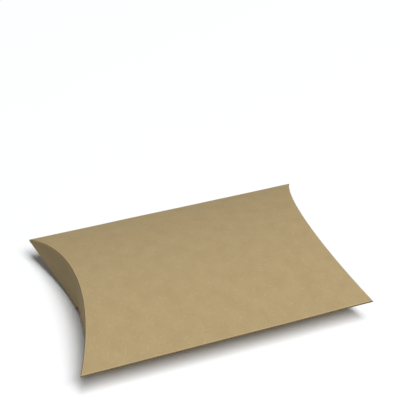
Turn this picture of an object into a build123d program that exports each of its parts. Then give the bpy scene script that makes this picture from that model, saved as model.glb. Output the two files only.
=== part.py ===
from build123d import *
import math
import os

# A pillow box of folded kraft board, closed and resting on its lower panel. Millimetres.
# X runs from tip to tip, Y across the box and Z up. The origin is on the table, at the middle of
# the line along which the curved lower panel rests.
#
# The box is one die-cut sheet: two wide panels, a glue flap and two end flaps on each panel. Each
# panel bends to a round arch, because the end creases are arcs. A crease that is bent this way lies
# in a plane at 45 degrees, so the closed flap is the mirror image of the arch: an upright wall of
# the same radius, dished in between the tips.

# Flat blank
tip_length = 162.0  # from tip to tip along the long folds
flat_width = 114.0  # from fold to fold, measured along the board
crease_rise = 14.0  # how far the middle of an end crease lies in from its two tips
flap_reach = 13.0  # how far the middle of a flap's free edge lies out from the two tips
board = 0.45  # thickness of the board

# Thumb notch in the free edge of each outer flap
notch_width = 9.6
notch_depth = 5.3

# Long folds
fold_width = 2.0  # strip of board at each long edge that is pressed into the fold
fold_radius = 0.3  # outside rounding of a folded edge

# Glued seam along the rear long edge
glue_flap_width = 15.0  # from the fold to the flap's inner edge
glue_flap_setback = 6.0  # from the tips to the flap's ends, at the fold
glue_flap_taper = 9.0  # how much further in each end lies at the inner edge
glue_film = 0.1  # thickness of the dried glue, with its clearance
glue_strip_width = 9.0
glue_strip_margin = 2.0  # from the fold strip to the glue, and from the glue to the flap's ends
glue_clearance = 0.01  # between the dried glue and the board on each side of it

# Play between pieces
crease_gap = 0.15  # between a panel and the flap that hinges on it
flap_gap = 0.6  # between the outer flap and the inner flap behind it
flap_end_relief = 0.4  # between a flap's pointed ends and the long folds
tuck_gap = 0.3  # between the free edge of an inner flap and the inside of the upper panel
overrun = 5.0  # how far a cutting shape runs past what it cuts


def arch_half_angle():
    """Half the angle of an arc that is flat_width long and crease_rise high, by halving steps."""
    wanted_share = 2 * crease_rise / flat_width
    low = 0.0
    high = math.pi
    halvings = 60
    for _ in range(halvings):
        middle = (low + high) / 2
        if (1 - math.cos(middle)) / middle < wanted_share:
            low = middle
        else:
            high = middle
    return low


half_angle = arch_half_angle()
arch_radius = flat_width / (2 * half_angle)
half_chord = arch_radius * math.sin(half_angle)
half_depth = crease_rise  # the 45 degree crease planes make the rise of the arch the same
depth = 2 * half_depth
half_length = tip_length / 2
free_radius = (half_chord**2 + flap_reach**2) / (2 * flap_reach)

# A folded edge is rounded, so it stops short of the sharp corner that the two arches would make
folded_half_width = half_chord - fold_radius / math.sin(half_angle) + fold_radius
panel_half_width = half_chord - fold_width
flap_half_width = panel_half_width - flap_end_relief


def lying(radius, axis_height):
    """A solid cylinder along the box, for the arches and for the free edges of the flaps."""
    return Pos(0, 0, axis_height) * Rot(0, 90, 0) * Cylinder(radius, tip_length + 2 * overrun)


def over_top(inset):
    """The space under the upper arch, inset from its outside by the given distance."""
    return lying(arch_radius - inset, depth - arch_radius)


def over_bottom(inset):
    """The space above the lower arch, inset from its outside by the given distance."""
    return lying(arch_radius - inset, arch_radius)


def end_column(side, inset):
    """An upright cylinder outside one end, whose near face is the dished end wall, moved in by inset."""
    axis_x = side * (half_length + arch_radius - crease_rise)
    return Pos(axis_x, 0, half_depth) * Cylinder(arch_radius + inset, depth + 2 * overrun)


def block(x_low, x_high, y_low, y_high, z_low, z_high):
    """A plain box between two corners."""
    middle = Pos((x_low + x_high) / 2, (y_low + y_high) / 2, (z_low + z_high) / 2)
    return middle * Box(x_high - x_low, y_high - y_low, z_high - z_low)


def full_length_block(y_low, y_high, z_low, z_high):
    """A plain box that runs past both tips."""
    reach = half_length + overrun
    return block(-reach, reach, y_low, y_high, z_low, z_high)


def without_ends(shape, inset):
    """The shape, cut back to the dished walls of both ends, moved in by inset."""
    return shape - end_column(-1, inset) - end_column(1, inset)


# Panels

outer_flap_inset = 0.0
inner_flap_inset = board + flap_gap


def make_top_panel():
    """The upper panel, from fold to fold and from one outer flap to the other."""
    arch = over_top(0) - over_top(board)
    strip = full_length_block(-panel_half_width, panel_half_width, half_depth, depth + overrun)
    return without_ends(arch & strip, outer_flap_inset + board + crease_gap)


def make_bottom_panel():
    """The lower panel. Its rear edge is a raw cut edge, which lies under the folded seam."""
    arch = over_bottom(0) - over_bottom(board)
    strip = full_length_block(-panel_half_width, folded_half_width, -overrun, half_depth)
    return without_ends(arch & strip, inner_flap_inset + board + crease_gap)


def make_fold(lower_inset):
    """The rear folded edge: a bent strip whose lower leg lies lower_inset above the lower arch's outside."""
    outside = over_top(0) & over_bottom(lower_inset)
    inside = over_top(board) & over_bottom(lower_inset + board)
    strip = full_length_block(panel_half_width, half_chord + overrun, -overrun, depth + overrun)
    wedge = outside & strip
    sharp_edge = wedge.edges().filter_by(Axis.X).sort_by(Axis.Y)[-1]
    return without_ends(fillet(sharp_edge, fold_radius) - inside, 0)


def make_front_fold():
    """The plain fold along the front, where one panel turns into the other."""
    return mirror(make_fold(0), about=Plane.XZ)


def make_seam_fold():
    """The fold along the rear, where the upper panel turns into the glue flap."""
    return make_fold(board + glue_film)


# Glued seam


def tapered_strip(y_low, y_high, end_margin):
    """An upright slab in plan, with its ends slanted as the glue flap's are and moved in by end_margin."""
    slant_share = glue_flap_taper / glue_flap_width
    half_at_fold = half_length - glue_flap_setback - end_margin
    half_low = half_at_fold - (panel_half_width - y_low) * slant_share
    half_high = half_at_fold - (panel_half_width - y_high) * slant_share
    outline = Polyline(
        (-half_low, y_low), (half_low, y_low), (half_high, y_high), (-half_high, y_high), close=True
    )
    return extrude(make_face(outline), half_depth)


def make_glue_flap():
    """The flap on the upper panel's rear edge, lying on the inside of the lower panel."""
    band = over_bottom(board + glue_film) - over_bottom(2 * board + glue_film)
    inner_edge = panel_half_width - glue_flap_width
    return band & tapered_strip(inner_edge, panel_half_width, 0)


def make_glue_line():
    """The dried strip of glue between the glue flap and the lower panel."""
    band = over_bottom(board + glue_clearance) - over_bottom(board + glue_film - glue_clearance)
    outer_edge = panel_half_width - glue_strip_margin
    return band & tapered_strip(outer_edge - glue_strip_width, outer_edge, glue_strip_margin)


# End flaps


def end_wall(side, inset):
    """The upright dished wall of one end, one board thick, cut clear of the long folds."""
    wall = end_column(side, inset + board) - end_column(side, inset)
    return wall & full_length_block(-flap_half_width, flap_half_width, -overrun, depth + overrun)


def thumb_notch(side):
    """A half-round notch that runs up from the free edge of an outer flap, in the middle."""
    free_edge = half_depth - flap_reach
    radius = notch_width / 2
    centre_height = free_edge + notch_depth - radius
    reach = tip_length / 2
    round_end = Pos(side * half_length, 0, centre_height) * Rot(0, 90, 0) * Cylinder(radius, reach)
    throat = full_length_block(-radius, radius, free_edge - overrun, centre_height)
    return round_end + throat


def make_outer_flap(side):
    """The flap on the upper panel. It closes last, outside the other one, and has the thumb notch."""
    outline = over_top(0) & lying(free_radius, half_depth - flap_reach + free_radius)
    return (end_wall(side, outer_flap_inset) & outline) - thumb_notch(side)


def make_inner_flap(side):
    """The flap on the lower panel. It closes first, behind the outer one and under the upper panel."""
    outline = over_bottom(0) & lying(free_radius, half_depth + flap_reach - free_radius)
    return end_wall(side, inner_flap_inset) & outline & over_top(board + tuck_gap)


def main():
    pieces = {
        "top_panel": make_top_panel(),
        "bottom_panel": make_bottom_panel(),
        "front_fold": make_front_fold(),
        "seam_fold": make_seam_fold(),
        "glue_flap": make_glue_flap(),
        "glue_line": make_glue_line(),
    }
    for end_name, side in (("left", -1), ("right", 1)):
        pieces[f"{end_name}_outer_flap"] = make_outer_flap(side)
        pieces[f"{end_name}_inner_flap"] = make_inner_flap(side)

    os.makedirs("parts", exist_ok=True)
    for name, shape in pieces.items():
        export_step(shape, f"parts/{name}.step")

    print(f"arch radius {arch_radius:.2f}, width over the folds {2 * folded_half_width:.2f}")
    for end_name, side in (("left", -1), ("right", 1)):
        crease_x = side * (half_length - crease_rise)
        print(f"{end_name} outer hinge: x {crease_x - side * outer_flap_inset:.3f}, z {depth:.3f}")
        print(f"{end_name} inner hinge: x {crease_x - side * inner_flap_inset:.3f}, z 0")


main()
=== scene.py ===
# %% [markdown]
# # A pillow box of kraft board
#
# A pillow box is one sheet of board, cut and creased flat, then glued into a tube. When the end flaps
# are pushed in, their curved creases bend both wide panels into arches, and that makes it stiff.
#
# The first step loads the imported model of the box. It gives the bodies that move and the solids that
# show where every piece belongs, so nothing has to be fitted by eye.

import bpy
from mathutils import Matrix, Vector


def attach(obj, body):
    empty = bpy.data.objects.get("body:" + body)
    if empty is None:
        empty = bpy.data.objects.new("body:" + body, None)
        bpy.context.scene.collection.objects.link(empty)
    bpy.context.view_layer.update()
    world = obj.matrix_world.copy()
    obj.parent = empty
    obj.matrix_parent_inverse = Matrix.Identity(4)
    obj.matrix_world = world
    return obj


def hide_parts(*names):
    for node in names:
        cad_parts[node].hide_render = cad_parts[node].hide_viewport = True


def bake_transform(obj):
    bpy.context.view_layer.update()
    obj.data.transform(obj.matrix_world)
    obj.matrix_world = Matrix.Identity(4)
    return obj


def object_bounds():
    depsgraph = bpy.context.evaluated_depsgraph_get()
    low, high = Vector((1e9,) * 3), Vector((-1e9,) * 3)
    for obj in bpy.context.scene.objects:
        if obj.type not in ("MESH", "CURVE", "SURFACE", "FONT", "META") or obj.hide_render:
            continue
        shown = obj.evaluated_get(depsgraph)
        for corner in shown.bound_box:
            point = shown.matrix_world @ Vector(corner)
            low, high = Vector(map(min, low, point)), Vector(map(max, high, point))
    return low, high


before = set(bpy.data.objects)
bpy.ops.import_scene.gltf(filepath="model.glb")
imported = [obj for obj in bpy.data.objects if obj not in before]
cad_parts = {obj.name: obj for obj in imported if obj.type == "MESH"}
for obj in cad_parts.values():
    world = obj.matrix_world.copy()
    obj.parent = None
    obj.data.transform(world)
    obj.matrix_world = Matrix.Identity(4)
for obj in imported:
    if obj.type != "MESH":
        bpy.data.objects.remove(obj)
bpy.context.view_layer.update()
print("Solids:", sorted(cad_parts))

# %% Tools for the rest
import math

import bmesh
import bpy
from mathutils import Matrix, Vector, noise

# %% [markdown]
# ## The sizes of the sheet
#
# Blender works in metres, and paper is measured in millimetres, so every size is written as a number
# times MM. X runs from tip to tip, Y across the box towards the glued seam, and Z up from the table.
#
# The end creases are arcs, and a crease that is bent this way lies in a plane at 45 degrees. So the
# arch of a panel and the dished wall of a closed flap have the same radius, and one number gives both.
# The half width follows from the radius and the rise, as for any arc.

# %% Sizes of the folded sheet
MM = 0.001
HALF_LENGTH = 81.0 * MM  # from the middle to a tip
RISE = 14.0 * MM  # of an arch, which is also half the depth of the box
DEPTH = 2 * RISE
ARCH_RADIUS = 113.62 * MM
BOARD = 0.45 * MM  # thickness

HALF_WIDTH = math.sqrt(2 * ARCH_RADIUS * RISE - RISE**2)
HALF_ANGLE = math.asin(HALF_WIDTH / ARCH_RADIUS)
FLAT_HALF_WIDTH = HALF_ANGLE * ARCH_RADIUS
UPPER_AXIS_Z = DEPTH - ARCH_RADIUS
LOWER_AXIS_Z = ARCH_RADIUS
print(f"Half width {HALF_WIDTH / MM:.2f} mm folded, {FLAT_HALF_WIDTH / MM:.2f} mm flat")

# %% [markdown]
# The flaps of the upper panel close last. Those of the lower panel lie behind them, so the lower panel
# and its flaps start a little further in, and each piece below takes that distance as its setback.
#
# The long folds are pieces of their own: short strips that turn from one panel to the other round a
# small radius, because board can't turn tighter than about its own thickness.

# %% Sizes of the details
OUTER = 0.0
INNER = 1.05 * MM  # setback of the lower panel's creases
FOLD_STRIP = 2.0 * MM  # width of board that belongs to a long fold
FOLD_RADIUS = 0.7 * MM
CREASE_RADIUS = 0.7 * MM
CREASE_BAND = 0.8 * MM  # of the panel's end that belongs to the crease
CREASE_STRIP = 3.0 * MM  # of the flap next to the crease, which turns most as the flap opens
FLAP_REACH = 13.0 * MM  # of a flap's free edge beyond the tips
FLAP_END = 52.9 * MM  # where the flaps end, just inside the rounded long folds
SPRING_BACK = 0.16  # how much an outer flap leans out at the tips, as a slope
TUCK = 0.8 * MM  # from the tucked edge of an inner flap to the upper panel's outside

NOTCH_WIDTH = 9.6 * MM
NOTCH_DEPTH = 5.3 * MM

GLUE_FILM = 0.1 * MM  # between the lower panel and the glue flap
GLUE_FLAP_WIDTH = 15.0 * MM
GLUE_FLAP_SETBACK = 6.0 * MM
GLUE_FLAP_TAPER = 9.0 * MM

PANEL_EDGE = HALF_WIDTH - FOLD_STRIP  # where a panel meets its long fold
RAW_EDGE = 53.3 * MM  # of the lower panel, under the seam

# %% [markdown]
# ## One arched sheet
#
# A panel is bent about one axis only, so it is a piece of a cylinder with straight lines along X.
# It could be a bent plane or a curve with depth. A spin is the plain way: one straight edge turns
# about the axis of the arch and leaves a row of long faces behind it.
#
# All pieces start as the outer face alone, as thin as a drawing. Where they end is cut with flat
# planes, because the creases lie in planes, and the thickness comes last.

# %% A straight edge becomes an arch
ARCH_STEPS = 72  # from fold to fold
FEWEST_STEPS = 6  # of a narrow part of the arch
SNAP = 1e-6  # a vertex this near to a cut counts as on it


def arch(front_y, rear_y, radius=ARCH_RADIUS):
    """The outside of the upper panel between two widths, from tip to tip."""
    front, rear = math.asin(front_y / radius), math.asin(rear_y / radius)
    bm = bmesh.new()
    start = (radius * math.sin(front), UPPER_AXIS_Z + radius * math.cos(front))
    ends = [bm.verts.new((x, *start)) for x in (-HALF_LENGTH, HALF_LENGTH)]
    ruling = bm.edges.new(ends)
    bmesh.ops.spin(
        bm,
        geom=[*ends, ruling],
        cent=(0, 0, UPPER_AXIS_Z),
        axis=(-1, 0, 0),
        angle=rear - front,
        steps=max(FEWEST_STEPS, round(ARCH_STEPS * (rear - front) / (2 * HALF_ANGLE))),
    )
    return bm


def cut(bm, point, normal, clear=True):
    """Cuts by a plane, and clears what lies on the side that the normal points to."""
    everything = bm.verts[:] + bm.edges[:] + bm.faces[:]
    normal = Vector(normal).normalized()
    bmesh.ops.bisect_plane(
        bm, geom=everything, dist=SNAP, plane_co=point, plane_no=normal, clear_outer=clear
    )


def trim_ends(bm, inward):
    """Ends an arch in the 45 degree planes that lie this far inward of its creases."""
    for side in (-1, 1):
        cut(bm, (side * (HALF_LENGTH - inward), 0, RISE), (side, 0, 1))


# %% [markdown]
# Cutting a long face leaves it long. Its straight edges are divided afterwards, so that the rows
# follow the curve of the creases and there are vertices for the sheet's slight waviness.

# %% Rows along a sheet
ROWS = 56


def divide_lengthwise(bm):
    long_edges = [e for e in bm.edges if abs(e.verts[0].co.x - e.verts[1].co.x) > HALF_LENGTH]
    bmesh.ops.subdivide_edges(bm, edges=long_edges, cuts=ROWS - 1, use_grid_fill=True)


# %% [markdown]
# ## Where a point lies on the flat sheet
#
# The fibres of board lie in the sheet and keep their places when it is folded. So the pattern of the
# material is not placed in the room but on the flat sheet: along, across, and down into the board.
# Each vertex keeps these three numbers as an attribute, and the material reads them. A second
# attribute is the distance to the nearest fold, along which a painted highlight and a painted shade line
# lie.
#
# The functions take a point of an upper piece. The lower ones are mirrored from upper ones, and on the
# flat sheet they lie beyond the long fold, so their place across is mirrored at that fold.

# %% Places on the flat sheet
FRONT, REAR = -1, 1


def crease_inset(y):
    """How far in from the tips the end crease lies at this y."""
    return RISE - ARCH_RADIUS + math.sqrt(max(ARCH_RADIUS**2 - y**2, 0))


def beyond(fold, across):
    """The place across of a point that lies beyond a long fold, seen flat."""
    return fold * 2 * FLAT_HALF_WIDTH - across


def place_on_panel(point, setback):
    """Along, across and the distance from the nearest fold, for a point of the upper panel."""
    across = math.atan2(point.y, point.z - UPPER_AXIS_Z) * ARCH_RADIUS
    from_crease = HALF_LENGTH - setback - abs(point.x) - crease_inset(point.y)
    return point.x, across, min(from_crease, FLAT_HALF_WIDTH - abs(across))


def place_on_flap(point, setback):
    """The same for a point of a flap, of its crease, or of the panel's end next to the crease."""
    inward = HALF_LENGTH - setback - abs(point.x) - crease_inset(point.y)
    below = RISE + crease_inset(point.y) - point.z
    along = abs(point.x) + below
    across = math.asin(max(-1, min(1, point.y / ARCH_RADIUS))) * ARCH_RADIUS
    return math.copysign(along, point.x), across, abs(inward - below)


# %% [markdown]
# ## Making a piece
#
# Every board piece goes through the same steps. The place of each point on the sheet is taken first.
# Then solidify grows a second skin inward, as real board is the same thickness everywhere, and those
# new vertices get the same place, one board deeper. Lower pieces are turned over.
#
# No folded sheet is quite true, so a slow noise moves all pieces by a tenth of a millimetre or two,
# by the same rule, so that they still meet and the light runs over them a little unevenly. The noise
# gets a fixed seed, or else each run would wave the board in another way.

# %% Thickness, and the slight waviness of board
WAVE_LENGTH = 42.0 * MM
WAVE_HEIGHT = 0.2 * MM
WAVE_SEED = 5
SHARP_ANGLE = math.radians(35)  # a bend above this is a cut edge and not a fold

noise.seed_set(WAVE_SEED)


def face_outwards(bm):
    """Turns all faces over if they look towards the middle of the box."""
    bm.normal_update()
    middle = Vector((0, 0, RISE))
    outward = sum(f.normal.dot(f.calc_center_median() - middle) * f.calc_area() for f in bm.faces)
    if outward < 0:
        bmesh.ops.reverse_faces(bm, faces=bm.faces[:])


def thicken(bm, place, setback, fold):
    """Gives the sheet its thickness, and each vertex its place on the flat sheet."""
    sheet = bm.verts.layers.float_vector.new("sheet")
    from_fold = bm.verts.layers.float.new("from_fold")
    for vertex in bm.verts:
        along, across, away = place(vertex.co, setback)
        vertex[sheet] = (along, beyond(fold, across) if fold else across, 0)
        vertex[from_fold] = away
    outer_skin = set(bm.verts)
    face_outwards(bm)
    bmesh.ops.solidify(bm, geom=bm.faces[:], thickness=BOARD)
    for vertex in bm.verts:
        if vertex not in outer_skin:
            along, across, _ = vertex[sheet]
            vertex[sheet] = (along, across, BOARD)


def turn_over(bm):
    """The lower pieces are upper ones, mirrored in the middle plane of the box."""
    bmesh.ops.scale(bm, vec=(1, 1, -1), verts=bm.verts[:])
    bmesh.ops.translate(bm, vec=(0, 0, DEPTH), verts=bm.verts[:])
    bmesh.ops.reverse_faces(bm, faces=bm.faces[:])


def board_piece(name, bm, node, place=place_on_panel, setback=OUTER, fold=None):
    """A piece of board that stands for a solid. A fold means that it lies below, beyond that fold."""
    thicken(bm, place, setback, fold)
    if fold:
        turn_over(bm)
    for vertex in bm.verts:
        vertex.co += WAVE_HEIGHT * noise.noise_vector(vertex.co / WAVE_LENGTH)
    mesh = bpy.data.meshes.new(name)
    bm.to_mesh(mesh)
    loose = sum(not e.is_manifold for e in bm.edges)
    bm.free()
    mesh.shade_smooth()
    mesh.set_sharp_from_angle(angle=SHARP_ANGLE)
    mesh.materials.append(kraft)
    piece = bpy.data.objects.new(name, mesh)
    bpy.context.collection.objects.link(piece)
    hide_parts(node)
    print(f"{name}: {len(mesh.polygons)} faces, {loose} open edges")
    return piece


# %% [markdown]
# ## Uncoated kraft board
#
# Kraft board is pressed from long unbleached wood fibres. Nothing covers them, so it is matt, brown
# and uneven in three ways: it is cloudy over a few millimetres where the pulp lay thicker, it has a
# fine grain, and single fibres lie on top of it, most of them paler than the board and some darker.
#
# A picture could give this, but a pattern worked out by nodes is sharp from any distance and has no
# repeats. All of it is placed by the sheet attribute, in millimetres.

# %% Small helpers for materials
MATHS, VECTORS = "ShaderNodeMath", "ShaderNodeVectorMath"
NOISE, RAMP = "ShaderNodeTexNoise", "ShaderNodeMapRange"
MIX = "ShaderNodeMix"  # its inputs 6 and 7 are the two colours


def linear(code):
    """The linear colour of an sRGB hex code."""
    channels = [int(code[i : i + 2], 16) / 255 for i in (0, 2, 4)]
    return (*[c / 12.92 if c <= 0.04045 else ((c + 0.055) / 1.055) ** 2.4 for c in channels], 1.0)


def emptied_tree(owner):
    """The node tree of a new material or world, without the nodes that it comes with."""
    owner.use_nodes = True
    owner.node_tree.nodes.clear()
    return owner.node_tree


def add(tree, kind, inputs=None, **settings):
    """Adds a node. An input is a value, an output, or a node, whose first output in use is taken."""
    made = tree.nodes.new(kind)
    for name, value in settings.items():
        setattr(made, name, value)
    for socket, value in (inputs or {}).items():
        if isinstance(value, bpy.types.Node):
            value = next(output for output in value.outputs if output.enabled)
        if isinstance(value, bpy.types.NodeSocket):
            tree.links.new(value, made.inputs[socket])
        else:
            made.inputs[socket].default_value = value
    return made


# %% [markdown]
# A fibre is drawn in a cell of its own. Voronoi noise scatters one point per cell. Measured from that
# point and turned by a random angle, a short thin box is one fibre, and a little of its length
# squared, added to its width, bends it. A random share of the cells stays empty.

# %% Scattered fibres
SOFT = 0.4  # of a fibre's half width, by which its edge fades to each side


def fibres(tree, place, spacing, length, width, share, bend, shift, strength):
    """A mask that has this strength on scattered fibres. Sizes are in millimetres of the sheet."""
    moved = add(tree, VECTORS, {0: place, 1: (shift, shift, 0)}, operation="ADD")
    scaled = add(tree, VECTORS, {0: moved, "Scale": 1 / spacing}, operation="SCALE")
    cell = {"Vector": scaled, "Scale": 1.0}
    cells = add(tree, "ShaderNodeTexVoronoi", cell, voronoi_dimensions="2D").outputs
    random = add(tree, "ShaderNodeSeparateColor", {"Color": cells["Color"]}).outputs

    local = add(tree, VECTORS, {0: scaled, 1: cells["Position"]}, operation="SUBTRACT")
    angle = add(tree, MATHS, {0: random[0], 1: math.tau}, operation="MULTIPLY")
    turn = {"Vector": local, "Angle": angle}
    turned = add(tree, "ShaderNodeVectorRotate", turn, rotation_type="Z_AXIS")
    along, across, _ = add(tree, "ShaderNodeSeparateXYZ", {"Vector": turned}).outputs

    either_way = add(tree, MATHS, {0: random[1], 1: 0.5}, operation="SUBTRACT")
    curl = add(tree, MATHS, {0: either_way, 1: bend}, operation="MULTIPLY")
    squared = add(tree, MATHS, {0: along, 1: along}, operation="MULTIPLY")
    aside = add(tree, MATHS, {0: squared, 1: curl}, operation="MULTIPLY")
    bent = add(tree, MATHS, {0: across, 1: aside}, operation="ADD")

    mask = add(tree, MATHS, {0: random[2], 1: share}, operation="LESS_THAN")
    for distance, half in ((along, length / 2), (bent, width / 2)):
        away = add(tree, MATHS, {0: distance}, operation="ABSOLUTE")
        edge = {"From Min": (1 - SOFT) * half / spacing, "From Max": (1 + SOFT) * half / spacing}
        inside = add(tree, RAMP, {"Value": away, **edge, "To Min": 1.0, "To Max": 0.0})
        mask = add(tree, MATHS, {0: mask, 1: inside}, operation="MULTIPLY")
    return add(tree, MATHS, {0: mask, 1: strength}, operation="MULTIPLY")


# %% [markdown]
# Real kraft fibres are 1 to 3 mm long and only about 0.03 mm wide. That is too fine to show, so they
# are drawn four to nine times as wide. The shift keeps the kinds of fibre from lying in one pattern.

# %% The ground of the board
CLOUD_SIZE, GRAIN_SIZE = 9.0, 0.7  # in millimetres, as all sizes on the sheet are
GRAIN_STRENGTH = 0.16

# Spacing, length and width, share of the cells that hold one, bend, shift and strength
DARK_SPECKS = (4.2, 1.1, 0.28, 0.55, 0.4, 31.0, 0.35)
SHORT_FIBRES = (1.5, 1.0, 0.12, 0.75, 0.7, 57.0, 0.2)
LONG_FIBRES = (4.4, 2.3, 0.2, 0.5, 0.5, 83.0, 0.42)


def cloudiness(tree, place):
    """A mask that is 1 where the pulp lay thicker."""
    cloud = add(tree, NOISE, {"Vector": place, "Scale": 1 / CLOUD_SIZE, "Detail": 3.0})
    return add(tree, RAMP, {"Value": cloud, "From Min": 0.35, "From Max": 0.65})


def pale_fibres(tree, place):
    """A mask of short and long fibres that lie on top."""
    short = fibres(tree, place, *SHORT_FIBRES)
    long = fibres(tree, place, *LONG_FIBRES)
    return add(tree, MATHS, {0: short, 1: long}, operation="MAXIMUM")


# %% [markdown]
# Along a fold a fine dark line is painted, as painted shade where the rounded fold turns from the light,
# and the board beside it is painted paler, as a painted highlight, most where the grain stands up. A cut
# edge shows the plies of the board, because the third number of the sheet place, the depth, runs
# through them there and stands still on the flat faces.

# %% Painted highlight and painted shade along the folds, and the core in the cut edges
# Painted shade: a fine dark line along each fold. Painted highlight: paler board beside it.
SHADE_LINE_FULL, SHADE_LINE_GONE, SHADE_LINE_STRENGTH = 0.2 * MM, 0.4 * MM, 0.85
HIGHLIGHT_FULL, HIGHLIGHT_GONE, HIGHLIGHT_STRENGTH = 0.5 * MM, 1.0 * MM, 0.5
CORE_FULL, CORE_GONE, CORE_STRENGTH = 0.12, 0.2, 0.7  # in millimetres from the middle of the board


def fading(full, gone, strength):
    """Settings for a mark that has its strength up to one distance and is gone at another."""
    return {"From Min": full, "From Max": gone, "To Min": strength, "To Max": 0.0}


def painted_fold_light(tree, grain):
    """The painted highlight beside a fold, and the painted shade of the dark line along it."""
    distance = add(tree, "ShaderNodeAttribute", attribute_name="from_fold").outputs["Fac"]
    settings = fading(HIGHLIGHT_FULL, HIGHLIGHT_GONE, HIGHLIGHT_STRENGTH)
    beside = add(tree, RAMP, {"Value": distance, **settings})
    grain_breakup = add(tree, RAMP, {"Value": grain, "From Min": 0.3, "From Max": 0.7, "To Min": 0.4})
    painted_highlight = add(tree, MATHS, {0: beside, 1: grain_breakup}, operation="MULTIPLY")
    settings = fading(SHADE_LINE_FULL, SHADE_LINE_GONE, SHADE_LINE_STRENGTH)
    return painted_highlight, add(tree, RAMP, {"Value": distance, **settings})


def bare_core(tree, place):
    """A mask of the middle plies, which show on cut edges only."""
    depth = add(tree, "ShaderNodeSeparateXYZ", {"Vector": place}).outputs[2]
    below_middle = add(tree, MATHS, {0: depth, 1: BOARD / MM / 2}, operation="SUBTRACT")
    off_middle = add(tree, MATHS, {0: below_middle}, operation="ABSOLUTE")
    return add(tree, RAMP, {"Value": off_middle, **fading(CORE_FULL, CORE_GONE, CORE_STRENGTH)})


# %% [markdown]
# The material lays its colours one over another, each by its own mask: the cloudy ground first, then
# the grain, the fibres, the painted highlight and painted shade along the folds, and the core of cut
# edges. Grain and fibres also stand up by a few hundredths of a millimetre, which a bump shows well
# enough. Bare fibres scatter the light, so the roughness is high.

# %% Kraft board
KRAFT = "AF9B73"
KRAFT_CLOUD = "AA956E"
# also the painted highlight beside the folds
KRAFT_PALE = "CDB98C"
KRAFT_DARK = "8A744C"
KRAFT_CORE = "BCA677"
# painted shade along the folds
KRAFT_FOLD_SHADE = "5E4C2E"
RELIEF = 0.03 * MM


def uncoated_kraft():
    material = bpy.data.materials.new("uncoated_kraft_board")
    tree = emptied_tree(material)
    sheet = add(tree, "ShaderNodeAttribute", attribute_name="sheet").outputs["Vector"]
    place = add(tree, VECTORS, {0: sheet, "Scale": 1 / MM}, operation="SCALE")

    grain = add(tree, NOISE, {"Vector": place, "Scale": 1 / GRAIN_SIZE, "Detail": 2.0})
    settings = {"From Min": 0.3, "From Max": 0.75, "To Max": GRAIN_STRENGTH}
    dark_grain = add(tree, RAMP, {"Value": grain, **settings})
    pale = pale_fibres(tree, place)
    painted_highlight, line = painted_fold_light(tree, grain)
    colour = linear(KRAFT)
    for mask, code in (
        (cloudiness(tree, place), KRAFT_CLOUD),
        (dark_grain, KRAFT_DARK),
        (fibres(tree, place, *DARK_SPECKS), KRAFT_DARK),
        (pale, KRAFT_PALE),
        # painted highlight beside the folds, then painted shade along them
        (painted_highlight, KRAFT_PALE),
        (line, KRAFT_FOLD_SHADE),
        (bare_core(tree, place), KRAFT_CORE),
    ):
        colour = add(tree, MIX, {0: mask, 6: colour, 7: linear(code)}, data_type="RGBA")

    raised_grain = add(tree, MATHS, {0: grain, 1: 0.6}, operation="MULTIPLY")
    raised_fibres = add(tree, MATHS, {0: pale, 1: 0.8}, operation="MULTIPLY")
    height = add(tree, MATHS, {0: raised_grain, 1: raised_fibres}, operation="ADD")
    bump = add(tree, "ShaderNodeBump", {"Height": height, "Strength": 0.3, "Distance": RELIEF})
    finish = {"Base Color": colour, "Roughness": 0.85, "Specular IOR Level": 0.3, "Normal": bump}
    surface = add(tree, "ShaderNodeBsdfPrincipled", finish)
    add(tree, "ShaderNodeOutputMaterial", {"Surface": surface})
    return material


kraft = uncoated_kraft()
print(f"{kraft.name}: {len(kraft.node_tree.nodes)} nodes")

# %% [markdown]
# ## The two wide panels
#
# The upper panel is the arch between the long folds. It ends just inside the creases, because the
# creases themselves belong to the flaps. The lower panel is the same arch turned over. At the rear it
# isn't folded: its raw cut edge lies under the glued seam.

# %% The upper and the lower panel
def panel(front_y, rear_y, setback):
    bm = arch(front_y, rear_y)
    trim_ends(bm, CREASE_BAND + setback)
    divide_lengthwise(bm)
    return bm


upper_panel = board_piece("upper_panel", panel(-PANEL_EDGE, PANEL_EDGE, OUTER), "top_panel")
lower_panel = board_piece(
    "lower_panel", panel(-PANEL_EDGE, RAW_EDGE, INNER), "bottom_panel", setback=INNER, fold=FRONT
)
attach(upper_panel, "root")
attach(lower_panel, "root")

# %% [markdown]
# ## The long folds
#
# At the front the sheet turns from the upper to the lower panel. Both legs start at the same sharp
# corner, so the section is one vertex with two short spins, one about each arch's axis. Drawn out
# along X it becomes a V, and a bevel rounds the corner. At the rear the lower leg is the start of the
# glue flap, which lies inside the lower panel, so its arc is smaller and the corner a little higher.
#
# At the ends the round nose of the fold runs out to the tip. Its legs stop where the flaps' creases
# begin, so each end is cut by planes into small faces, and those that the creases need are cleared.

# %% Front fold and seam fold
ROUND = {
    "offset_type": "OFFSET",
    "profile": 0.5,
    "affect": "EDGES",
    "material": -1,
    "clamp_overlap": False,
}
FOLD_SEGMENTS = 8
LOWER_LEG_SETBACK = 0.65 * MM  # so that the outer flaps pass outside the lower legs
NOSE_SETBACK = (2 - math.sqrt(2)) * CREASE_RADIUS  # as far in as the rounding of the creases
FOLD_SHADE_SPREAD = 0.3 * MM  # to each side, by which the painted shade line and highlight of a long fold reach further than a crease's


def place_round(nose_y, nose_z):
    """Gives the function that places the points of a fold with this nose on the flat sheet."""

    def place_on_fold(point, setback):
        upper = Vector((point.x, point.y, nose_z + abs(point.z - nose_z)))
        along, across, _ = place_on_panel(upper, setback)
        if point.z < nose_z:
            across = beyond(FRONT if nose_y < 0 else REAR, across)
        # the painted shade and highlight of a long fold start this far out from its nose
        away = math.hypot(point.y - nose_y, point.z - nose_z) - FOLD_SHADE_SPREAD
        return along, across, max(away, 0)

    return place_on_fold


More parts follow.
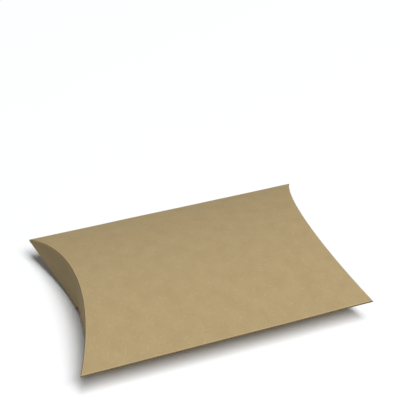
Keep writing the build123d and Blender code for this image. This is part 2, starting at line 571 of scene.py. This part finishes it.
def end_fold(bm):
    """Ends a rear fold at the tips, and its legs at the flaps' creases."""
    trim_ends(bm, NOSE_SETBACK)
    for side in (-1, 1):
        cut(bm, (side * (HALF_LENGTH - LOWER_LEG_SETBACK), 0, RISE), (side, 0, -1))
        band = (side * (HALF_LENGTH - CREASE_BAND), 0, RISE)
        cut(bm, band, (side, 0, 1), clear=False)
    cut(bm, (0, FLAP_END, 0), (0, 1, 0), clear=False)
    in_the_way = []
    for face in bm.faces:
        middle = face.calc_center_median()
        beyond_band = abs(middle.x) + middle.z > HALF_LENGTH - CREASE_BAND + RISE
        if beyond_band and middle.y < FLAP_END:
            in_the_way.append(face)
    bmesh.ops.delete(bm, geom=in_the_way, context="FACES")


def long_fold(lower_radius):
    """A folded strip along the rear edge, whose lower leg has this radius, and where its nose is."""
    apart = LOWER_AXIS_Z - UPPER_AXIS_Z
    up = (ARCH_RADIUS**2 + apart**2 - lower_radius**2) / (2 * apart)
    y = math.sqrt(ARCH_RADIUS**2 - up**2)
    legs = []
    bm = bmesh.new()
    corner = bm.verts.new((-HALF_LENGTH, y, UPPER_AXIS_Z + up))
    for radius, axis_z, way in ((ARCH_RADIUS, UPPER_AXIS_Z, 1), (lower_radius, LOWER_AXIS_Z, -1)):
        legs.append(math.asin(y / radius))
        bmesh.ops.spin(
            bm,
            geom=[corner],
            cent=(0, 0, axis_z),
            axis=(way, 0, 0),
            angle=legs[-1] - math.asin(PANEL_EDGE / radius),
            steps=1,
        )
    drawn = bmesh.ops.extrude_edge_only(bm, edges=bm.edges[:])["geom"]
    far_end = [g for g in drawn if isinstance(g, bmesh.types.BMVert)]
    bmesh.ops.translate(bm, vec=(2 * HALF_LENGTH, 0, 0), verts=far_end)
    bmesh.ops.remove_doubles(bm, verts=bm.verts[:], dist=SNAP)
    sharp = [e for e in bm.edges if all(abs(v.co.y - y) < SNAP for v in e.verts)]
    bmesh.ops.bevel(
        bm,
        geom=sharp,
        offset=FOLD_RADIUS / math.tan(sum(legs) / 2),
        segments=FOLD_SEGMENTS,
        **ROUND,
    )
    end_fold(bm)
    divide_lengthwise(bm)
    nose = max(bm.verts, key=lambda vertex: vertex.co.y).co
    return bm, nose.y, nose.z


front, *nose = long_fold(ARCH_RADIUS)
bmesh.ops.rotate(front, matrix=Matrix.Rotation(math.pi, 3, "Z"), verts=front.verts[:])
front_fold = board_piece("front_fold_strip", front, "front_fold", place=place_round(-nose[0], nose[1]))
seam, *nose = long_fold(ARCH_RADIUS - BOARD - GLUE_FILM)
seam_fold = board_piece("seam_fold_strip", seam, "seam_fold", place=place_round(*nose))
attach(front_fold, "root")
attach(seam_fold, "root")

# %% [markdown]
# ## The glued seam
#
# The glue flap goes on from the seam fold and lies on the inside of the lower panel. Its ends are
# slanted, so that they never show at the ends of the box. The strip of glue between them is a solid of
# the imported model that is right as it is, and only needs the look of dried white glue.

# %% Glue flap
def glue_flap_sheet():
    bm = arch(PANEL_EDGE - GLUE_FLAP_WIDTH, PANEL_EDGE, radius=ARCH_RADIUS - BOARD - GLUE_FILM)
    for side in (-1, 1):
        end = (side * (HALF_LENGTH - GLUE_FLAP_SETBACK), PANEL_EDGE, 0)
        cut(bm, end, (side * GLUE_FLAP_WIDTH, -GLUE_FLAP_TAPER, 0))
    divide_lengthwise(bm)
    return bm


glue_flap = board_piece("glued_seam_flap", glue_flap_sheet(), "glue_flap", setback=INNER, fold=REAR)
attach(glue_flap, "root")

# %% [markdown]
# Glue dries unevenly: thicker parts stay whiter, thin ones let the board show through and look more
# yellow. A noise in the place of the solid's own points mixes the two, and also moves the gloss.

# %% Dried glue
GLUE_WHITE = "E4DFD2"
GLUE_YELLOW = "CFC4A6"
STREAK_SIZE = 3.0 * MM
GLUE_RELIEF = 0.05 * MM


def dried_glue():
    material = bpy.data.materials.new("dried_white_glue")
    tree = emptied_tree(material)
    place = add(tree, "ShaderNodeTexCoord").outputs["Object"]
    streaks = add(tree, NOISE, {"Vector": place, "Scale": 1 / STREAK_SIZE, "Detail": 3.0})
    thin = add(tree, RAMP, {"Value": streaks, "From Min": 0.35, "From Max": 0.65})
    colours = {6: linear(GLUE_WHITE), 7: linear(GLUE_YELLOW)}
    colour = add(tree, MIX, {0: thin, **colours}, data_type="RGBA")
    gloss = {"From Min": 0.3, "From Max": 0.7, "To Min": 0.35, "To Max": 0.6}
    roughness = add(tree, RAMP, {"Value": streaks, **gloss})
    bump = add(tree, "ShaderNodeBump", {"Height": streaks, "Strength": 0.4, "Distance": GLUE_RELIEF})
    finish = {"Base Color": colour, "Roughness": roughness, "Normal": bump}
    surface = add(tree, "ShaderNodeBsdfPrincipled", finish)
    add(tree, "ShaderNodeOutputMaterial", {"Surface": surface})
    return material


glue_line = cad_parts["glue_line"]
for slot in glue_line.material_slots:
    slot.material = dried_glue()
print("glue_line:", [slot.material.name for slot in glue_line.material_slots])

# %% [markdown]
# ## End flaps
#
# A closed flap stands upright, and its lines run straight up and down. So it grows from the crease:
# the crease edges of an arch are drawn straight down, and that alone gives the dished wall. A bevel
# rounds the crease, and one more flat cut, through both tips, gives the curved free edge.

# %% A flap's outside, grown down from its crease
STRIP_ROWS = 7
WALL_ROWS = 16
CREASE_SEGMENTS = 5


def draw_down(bm, edges, depth):
    """Draws a chain of edges straight down, and gives the new lower chain."""
    made = bmesh.ops.extrude_edge_only(bm, edges=edges)["geom"]
    lower = {g for g in made if isinstance(g, bmesh.types.BMVert)}
    bmesh.ops.translate(bm, vec=(0, 0, -depth), verts=list(lower))
    return [g for g in made if isinstance(g, bmesh.types.BMEdge) and set(g.verts) <= lower]


def below_crease(point, setback):
    """How far down a left flap a point lies, measured from the crease."""
    return RISE + HALF_LENGTH - setback + point.x - point.z


def flap_sheet(setback):
    """A left flap on the upper panel, with its crease and the panel's end beside it."""
    bm = arch(-HALF_WIDTH, HALF_WIDTH)
    cut(bm, (-HALF_LENGTH + setback, 0, RISE), (-1, 0, 1))
    cut(bm, (-HALF_LENGTH + setback + CREASE_BAND, 0, RISE), (1, 0, -1))
    crease = [e for e in bm.edges if all(abs(below_crease(v.co, setback)) < SNAP for v in e.verts)]
    strip_end = draw_down(bm, crease, CREASE_STRIP)
    draw_down(bm, strip_end, DEPTH - CREASE_STRIP)
    bmesh.ops.bevel(bm, geom=crease, offset=CREASE_RADIUS, segments=CREASE_SEGMENTS, **ROUND)
    upright = [
        e
        for e in bm.edges
        if max(abs(e.verts[0].co.x - e.verts[1].co.x), abs(e.verts[0].co.y - e.verts[1].co.y)) < SNAP
    ]
    for rows, wanted in ((STRIP_ROWS, True), (WALL_ROWS, False)):
        chosen = [
            e
            for e in upright
            if e.is_valid
            and wanted == (below_crease((e.verts[0].co + e.verts[1].co) / 2, setback) < CREASE_STRIP)
        ]
        bmesh.ops.subdivide_edges(bm, edges=chosen, cuts=rows - 1, use_grid_fill=True)
    return bm


# %% [markdown]
# A thumb notch is cut into the free edge of each outer flap. It is a slot with a round end, and here it
# is cut with flat planes only, each on what is left inside the cuts before it. The top and the two
# sides come first, then the corners, the larger ones first, until the end is round.

# %% The thumb notch
NOTCH_SIDES = 24
NOTCH_SPARE = 2.0 * MM  # above the notch, so that all faces it can touch are taken


def cut_notch(bm):
    radius = NOTCH_WIDTH / 2
    top = RISE - FLAP_REACH + NOTCH_DEPTH
    centre = Vector((0, 0, top - radius))
    inside = [
        f
        for f in bm.faces
        if f.calc_center_median().z < top + NOTCH_SPARE
        and abs(f.calc_center_median().y) < NOTCH_WIDTH
    ]
    for k in sorted(range(NOTCH_SIDES + 1), key=lambda k: math.gcd(k, NOTCH_SIDES), reverse=True):
        angle = math.pi * k / NOTCH_SIDES
        outward = Vector((0, math.cos(angle), math.sin(angle)))
        touched = {g for f in inside for g in (f, *f.edges, *f.verts)}
        result = bmesh.ops.bisect_plane(
            bm, geom=list(touched), dist=SNAP, plane_co=centre + radius * outward, plane_no=outward
        )
        faces = [g for g in result["geom"] if isinstance(g, bmesh.types.BMFace)]
        inside = [f for f in faces if (f.calc_center_median() - centre).dot(outward) < radius]
    bmesh.ops.delete(bm, geom=inside, context="FACES")


# %% [markdown]
# The free edge of a flap is an arc between the two tips on the flat sheet. On the closed flap that arc
# lies in one plane, so one cut makes it. The inner flaps are cut a second time, where they tuck under
# the upper panel. All of it is done on a flap of the upper panel at the left end, and the others are
# mirror images of it.
#
# Creased board springs back a little. An outer flap leans out where nothing holds it, towards the
# tips, so its wall is moved outwards there, more the further down a point lies.
#
# A real flap bends as it opens, because its crease is curved: the middle turns at once and the sides
# less. Two pieces give nearly that, the strip next to the crease and the wall. Two pieces are made for
# that, the strip next to the crease and the wall, and for each the line of a blend between the box and
# the flap's body is worked out, such that where they meet both blends give the same turn.

# %% Trimming a flap and parting it in two
def spring_back(bm):
    """Leans the wall of a left flap outwards at its ends, below the strip at the crease."""
    for vertex in bm.verts:
        x, y, z = vertex.co
        below = RISE + crease_inset(y) - z - CREASE_STRIP
        vertex.co.x = x - SPRING_BACK * (y / HALF_WIDTH) ** 2 * max(below, 0)


def flap_piece_sheet(setback, wall):
    """The left strip at the crease, or the left wall beyond it, as an open sheet."""
    bm = flap_sheet(setback)
    cut(bm, (-HALF_LENGTH + setback, 0, RISE), (-FLAP_REACH, 0, -RISE))
    for side in (-1, 1):
        cut(bm, (0, side * FLAP_END, 0), (0, side, 0))
    if setback == OUTER:
        cut_notch(bm)
        spring_back(bm)
    else:
        cut(bm, (-HALF_LENGTH + setback + TUCK, 0, RISE), (-1, 0, -1))
    away = [
        f for f in bm.faces if (below_crease(f.calc_center_median(), setback) > CREASE_STRIP) != wall
    ]
    bmesh.ops.delete(bm, geom=away, context="FACES")
    return bm


# %% [markdown]
# The blend of a piece runs along one straight line, from the point where nothing turns to the point
# where everything does. Its turn grows down the flap, fast in the strip and slowly in the wall, and
# shrinks along the crease towards the tips, so the line is slanted.

# %% Blends of the flaps
FADE = 0.04 / MM  # share of the turn that is lost along the crease, for each millimetre outwards
TURN_OF_STRIP = 0.68  # share of the turn that is reached where the strip meets the wall
DELAY = 0.1  # what the turn is short of zero at the crease, so that the panel's end stays down


def blend_line(setback, wall):
    """Start and end of the blend for the left flap of the upper panel."""
    if wall:
        growth = (1 - TURN_OF_STRIP) / (RISE + FLAP_REACH - CREASE_STRIP)
        at_crease = TURN_OF_STRIP - growth * CREASE_STRIP
    else:
        growth = (TURN_OF_STRIP + DELAY) / CREASE_STRIP
        at_crease = -DELAY
    gradient = Vector((growth + FADE, 0, -growth))
    start = Vector((-HALF_LENGTH + setback + RISE, 0, DEPTH + at_crease / growth))
    return start, start + gradient / gradient.length_squared


def make_flap(side, fold):
    end = "left" if side < 0 else "right"
    layer = "inner" if fold else "outer"
    setback = INNER if fold else OUTER
    body = f"{end}_{layer}_flap"
    for wall in (False, True):
        bm = flap_piece_sheet(setback, wall)
        if side > 0:
            bmesh.ops.scale(bm, vec=(-1, 1, 1), verts=bm.verts[:])
        name = f"{end}_{layer}_{'wall' if wall else 'crease'}"
        piece = board_piece(name, bm, body, place=place_on_flap, setback=setback, fold=fold)
        start, stop = blend_line(setback, wall)
        for point in (start, stop):
            point.x *= -side
            if fold:
                point.z = DEPTH - point.z
        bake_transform(piece)


for side in (-1, 1):
    make_flap(side, None)
    make_flap(side, FRONT)

# %% [markdown]
# ## Table and light
#
# The box lies on a white table with a white background, under a large soft light from above. A table
# of that white would throw too much light back at the box. So this one is a pale grey for the light it
# throws back, and is whiter and glows a little only where it is looked at directly. It still keeps the
# soft shadow of the box, and the glow lights nothing.

# %% A table that is white where it is looked at
FLOOR_SEEN = (0.97, 0.985, 1.0, 1.0)  # a trace cooler than white
FLOOR_LIT_BY = 0.58  # the grey that lights the box
FLOOR_GLOW = 0.03
FLOOR_REACH = 1.6  # metres from the middle to each side


def seen_directly(tree):
    """1 for rays that show the background itself, in the camera or in something glossy or clear."""
    ray = add(tree, "ShaderNodeLightPath").outputs
    either = {0: ray["Is Glossy Ray"], 1: ray["Is Transmission Ray"]}
    mirrored = add(tree, MATHS, either, operation="MAXIMUM")
    return add(tree, MATHS, {0: ray["Is Camera Ray"], 1: mirrored}, operation="MAXIMUM")


def table_top():
    material = bpy.data.materials.new("white_table")
    tree = emptied_tree(material)
    seen = seen_directly(tree)
    colours = {6: (FLOOR_LIT_BY, FLOOR_LIT_BY, FLOOR_LIT_BY, 1.0), 7: FLOOR_SEEN}
    grey = add(tree, MIX, {0: seen, **colours}, data_type="RGBA")
    matt = add(tree, "ShaderNodeBsdfDiffuse", {"Color": grey})
    strength = add(tree, MATHS, {0: seen, 1: FLOOR_GLOW}, operation="MULTIPLY")
    glow = add(tree, "ShaderNodeEmission", {"Color": (1, 1, 1, 1), "Strength": strength})
    both = add(tree, "ShaderNodeAddShader", {0: matt, 1: glow})
    add(tree, "ShaderNodeOutputMaterial", {"Surface": both})
    return material


bm = bmesh.new()
bmesh.ops.create_grid(bm, x_segments=1, y_segments=1, size=FLOOR_REACH)
floor_mesh = bpy.data.meshes.new("floor")
bm.to_mesh(floor_mesh)
bm.free()
floor_mesh.materials.append(table_top())
floor = bpy.data.objects.new("floor", floor_mesh)
floor.location.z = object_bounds()[0][2]
bpy.context.collection.objects.link(floor)
print(f"table top at {floor.location.z / MM:.2f} mm")

# %% [markdown]
# The lamp is large and far away. What counts for the shadow is how large the lamp looks from the box,
# so a small lamp near by would throw the same one, but it would leave the table darker further out.

# %% World and lamp
AMBIENT = 0.09  # strength of the room's light on the box, while its white shows with strength 1
KEY_DIRECTION = Vector((0.17, -0.38, 1.0)).normalized()
KEY_DISTANCE = 9.6  # in metres
KEY_SIZE, KEY_SIZE_Y = 3.6, 7.2  # in metres
KEY_POWER = 1010  # in watts

world = bpy.data.worlds.new("white_room")
bpy.context.scene.world = world
tree = emptied_tree(world)
strength = add(tree, RAMP, {"Value": seen_directly(tree), "To Min": AMBIENT, "To Max": 1.0})
room = add(tree, "ShaderNodeBackground", {"Color": (1, 1, 1, 1), "Strength": strength})
add(tree, "ShaderNodeOutputWorld", {"Surface": room})

lamp = bpy.data.lights.new("soft_light", "AREA")
lamp.shape = "RECTANGLE"
lamp.size = KEY_SIZE
lamp.size_y = KEY_SIZE_Y
lamp.energy = KEY_POWER
key = bpy.data.objects.new("soft_light", lamp)
key.location = KEY_DISTANCE * KEY_DIRECTION
key.rotation_euler = KEY_DIRECTION.to_track_quat("Z", "Y").to_euler()
bpy.context.collection.objects.link(key)
print(f"lamp of {KEY_SIZE} by {KEY_SIZE_Y} m, {KEY_DISTANCE} m away")

# %% [markdown]
# ## Camera
#
# The camera looks at the box from the front left and from above, as in the photograph. It is placed by
# its angles round the middle of the box and its distance, and turned by its small roll.

# %% Camera
AZIMUTH, ELEVATION, ROLL = math.radians(-22.186), math.radians(38.547), math.radians(-2.167)
DISTANCE = 560.6 * MM
ASIDE, BELOW = -2.01 * MM, 38.25 * MM  # where the middle of the box lies in the camera's view
LENS, SENSOR = 92.2257, 36.0  # in millimetres

back = Vector(
    (
        math.sin(AZIMUTH) * math.cos(ELEVATION),
        -math.cos(AZIMUTH) * math.cos(ELEVATION),
        math.sin(ELEVATION),
    )
)
right = Vector((0, 0, 1)).cross(back).normalized()
down = -back.cross(right)
turned_right = right * math.cos(ROLL) + down * math.sin(ROLL)
turned_down = down * math.cos(ROLL) - right * math.sin(ROLL)

lens = bpy.data.cameras.new("camera")
lens.lens = LENS
lens.sensor_width = SENSOR
camera = bpy.data.objects.new("camera", lens)
bpy.context.collection.objects.link(camera)
place = Vector((0, 0, RISE)) - ASIDE * turned_right - BELOW * turned_down + DISTANCE * back
turn = Matrix((turned_right, -turned_down, back)).transposed()
camera.matrix_world = Matrix.Translation(place) @ turn.to_4x4()
bpy.context.scene.camera = camera
bpy.context.scene.view_settings.view_transform = "Standard"
print("camera at", [round(c, 4) for c in place])
